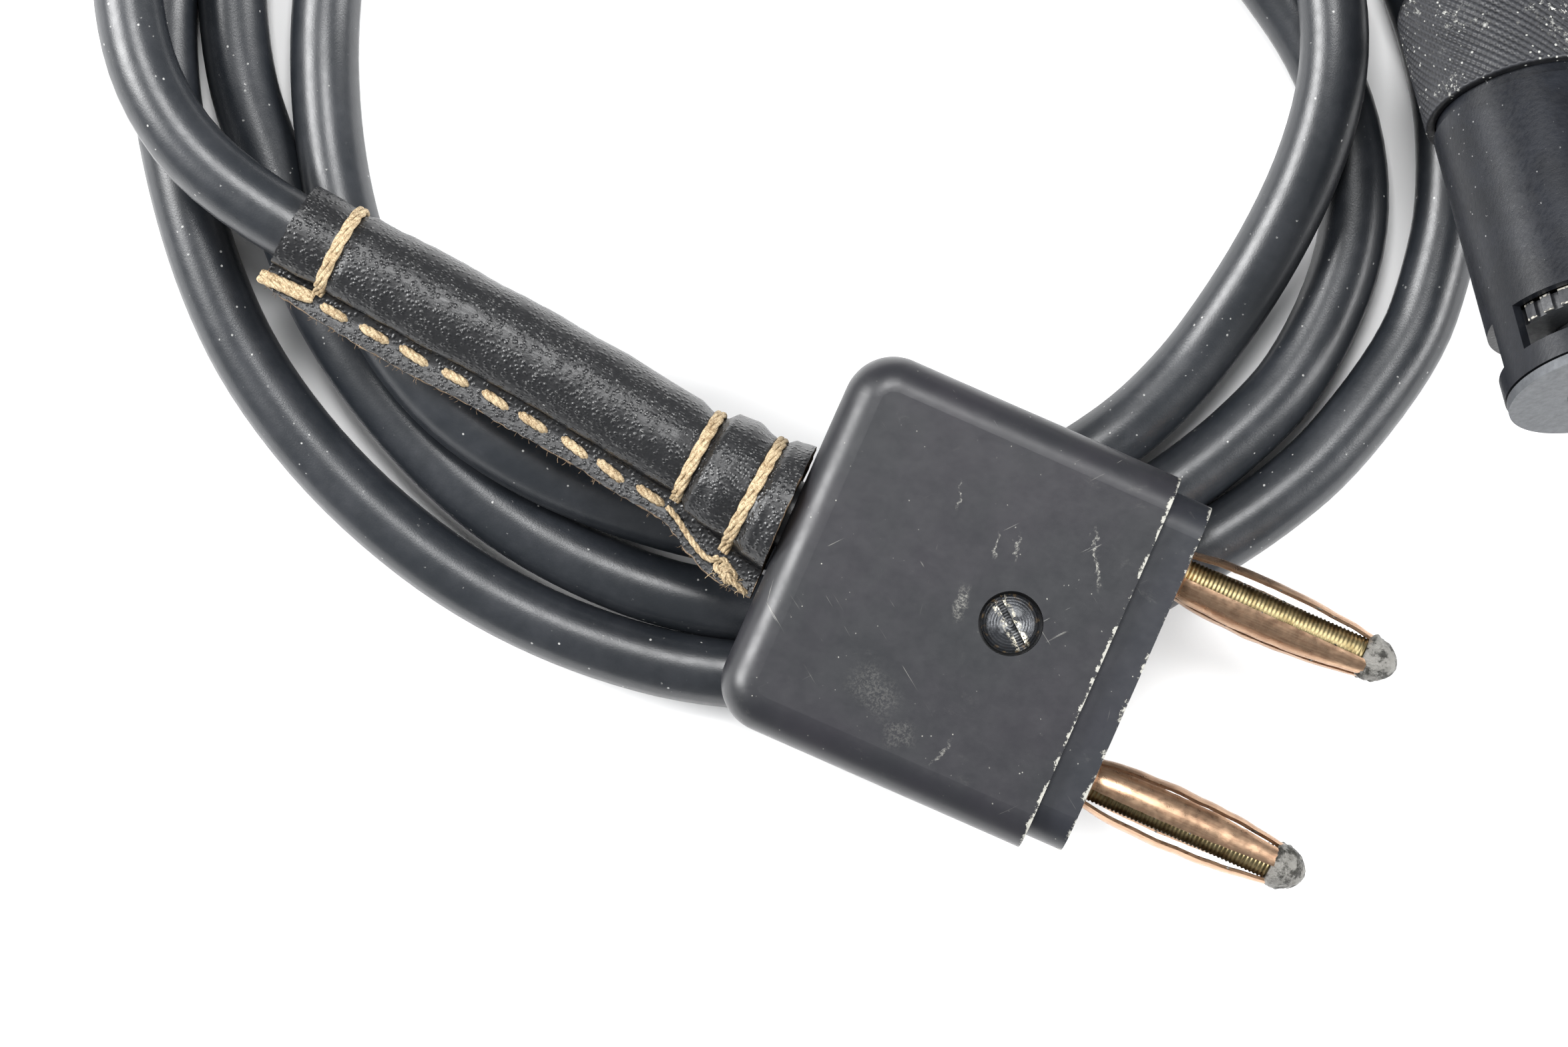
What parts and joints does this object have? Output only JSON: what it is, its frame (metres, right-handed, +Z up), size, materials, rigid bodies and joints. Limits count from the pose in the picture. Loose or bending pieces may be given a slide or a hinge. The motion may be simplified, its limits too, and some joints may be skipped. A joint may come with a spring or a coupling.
{
  "type": "electric cable shutter release",
  "caption": "Electric cable shutter release: a two-pin plug with a sewn leather sleeve, a coiled rubber cord and a plunger head whose coupling wheel screws onto a camera.",
  "frame": {"origin": "On the surface that the object lies on, under the middle of its own pieces' box (plug, sleeve and head, without the free cord).", "axes": "+X along the plug's pins, away from its cord; +Y across the two pins, to the left when looking along them; +Z up from the surface. The head points along (0.545, -0.750, 0.375)."},
  "size_m": [0.1406, 0.132, 0.0356],
  "materials": {
    "bakelite_shell": "black moulded Bakelite, scratched and chipped at its edges",
    "bakelite_insert": "black moulded Bakelite, duller than the shell",
    "blackened_screw": "blackened steel, worn bright beside the slot",
    "brass": "tarnished brass",
    "spring_bronze": "toned phosphor bronze",
    "solder": "grey pitted solder",
    "leather": "black grained leather with tan cut edges",
    "linen_thread": "waxed linen thread",
    "cord_rubber": "smooth black rubber, dusty",
    "head_black": "satin black enamel over brass",
    "grip_black": "fine black knurling with dust in it",
    "plate_grey": "matte grey worn black",
    "wheel_black": "black paint chipped from the teeth",
    "steel": "plain turned steel",
    "copper_winding": "enamelled copper wire",
    "bobbin_fibre": "brown vulcanised fibre",
    "wire_insulation": "rubber covered wire"
  },
  "bodies": {
    "root": {"plug_shell": "bakelite_shell", "plug_insert": "bakelite_insert", "shell_screw": "blackened_screw", "screw_bush": "brass", "pin_core_left": "brass", "pin_core_right": "brass", "pin_washer_left": "brass", "pin_washer_right": "brass", "pin_springs_left": "spring_bronze", "pin_springs_right": "spring_bronze", "pin_tip_left": "solder", "pin_tip_right": "solder", "pin_nut_left": "brass", "pin_nut_right": "brass", "plug_wires": "wire_insulation", "leather_sleeve": "leather", "sleeve_stitching": "linen_thread", "covered_cord": "cord_rubber", "end_plate": "plate_grey", "head_shell": "head_black", "guide_bush": "brass", "pole_piece": "steel", "coil_bobbin": "bobbin_fibre", "magnet_winding": "copper_winding", "magnet_case": "steel", "magnet_back_plate": "steel", "return_spring": "steel", "terminal_board": "bobbin_fibre", "head_wires": "wire_insulation", "grip_barrel": "grip_black", "cord_boot": "cord_rubber", "booted_cord": "cord_rubber", "cord_lead": "cord_rubber", "cord_coil": "cord_rubber", "cord_tail": "cord_rubber"},
    "plunger": {"plunger_rod": "steel", "armature": "steel"},
    "coupling_wheel": {"coupling_wheel": "wheel_black"}
  },
  "joints": [
    {"name": "plunger_travel", "type": "slide", "parent": "root", "child": "plunger", "axis": [0.545, -0.7501, 0.3746], "range_m": [0, 0.006], "stiffness_N_per_m": 250, "springref_m": -0.002, "deforming": ["return_spring"]},
    {"name": "wheel_turn", "type": "hinge", "parent": "root", "child": "coupling_wheel", "pos_m": [0.04586, 0.00368, 0.02575], "axis": [0.545, -0.7501, 0.3746], "continuous": true}
  ]
}
